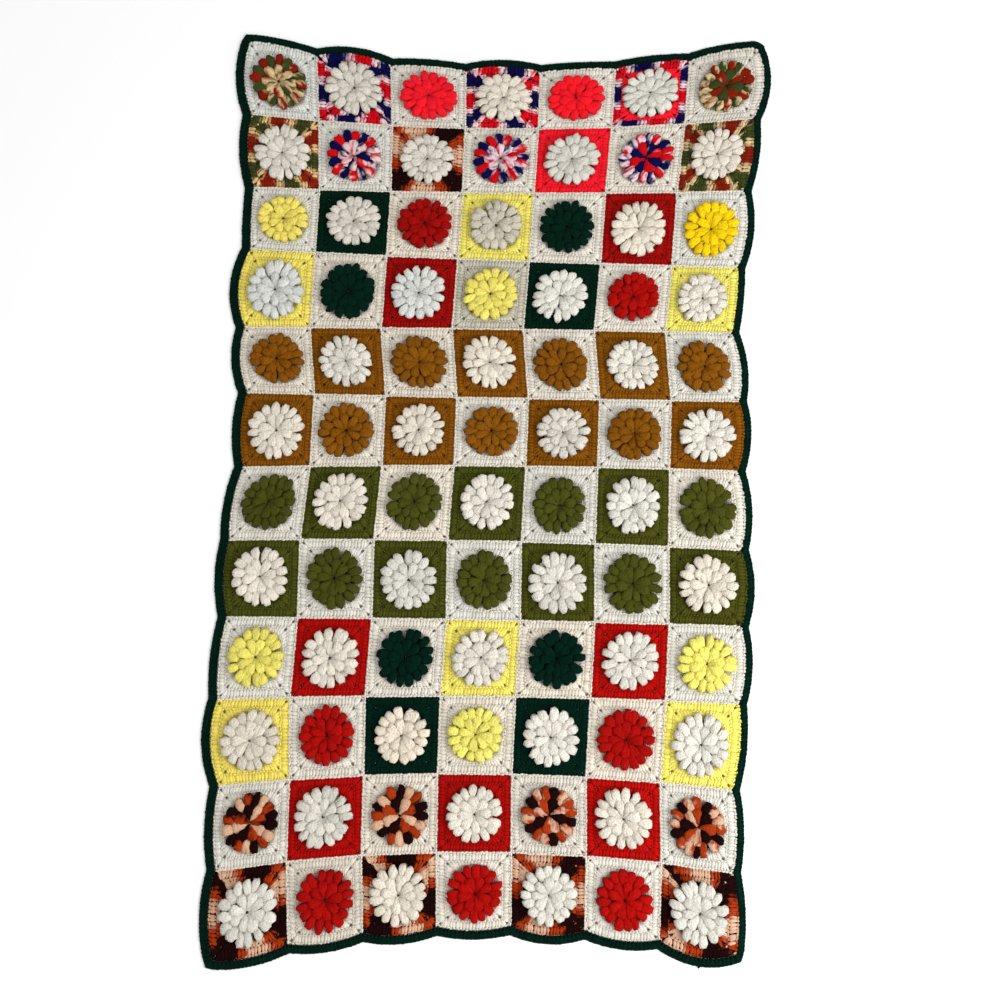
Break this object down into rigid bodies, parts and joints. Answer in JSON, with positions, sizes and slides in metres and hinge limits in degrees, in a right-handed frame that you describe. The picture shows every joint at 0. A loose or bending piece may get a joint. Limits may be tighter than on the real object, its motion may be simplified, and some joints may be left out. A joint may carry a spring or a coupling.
{
  "type": "granny square blanket",
  "caption": "Flat crocheted blanket of joined squares, each with a raised popcorn flower, inside a dark edging whose outline swells at every square.",
  "frame": {"origin": "middle of the blanket's outline, on the surface it lies on", "axes": "+Z out of the face with the flowers, +Y along the longer side towards the edge with the variegated squares, +X across the blanket"},
  "size_m": [1.0194, 1.6724, 0.016],
  "materials": {
    "yarn_variegated": "matt crocheted yarn, white with variegated red, green and navy",
    "yarn_yellow_green": "matt crocheted yarn, white with yellow, green and red",
    "yarn_brown": "matt crocheted yarn, white with brown",
    "yarn_olive": "matt crocheted yarn, white with olive",
    "yarn_red": "matt crocheted yarn, white with red and orange",
    "yarn_edging": "matt crocheted yarn, dark green"
  },
  "bodies": {
    "root": {"strip_01": "yarn_variegated", "strip_02": "yarn_variegated", "strip_03": "yarn_yellow_green", "strip_04": "yarn_yellow_green", "strip_05": "yarn_brown", "strip_06": "yarn_brown", "strip_07": "yarn_olive", "strip_08": "yarn_olive", "strip_09": "yarn_yellow_green", "strip_10": "yarn_yellow_green", "strip_11": "yarn_red", "strip_12": "yarn_red", "edging": "yarn_edging"}
  },
  "joints": []
}
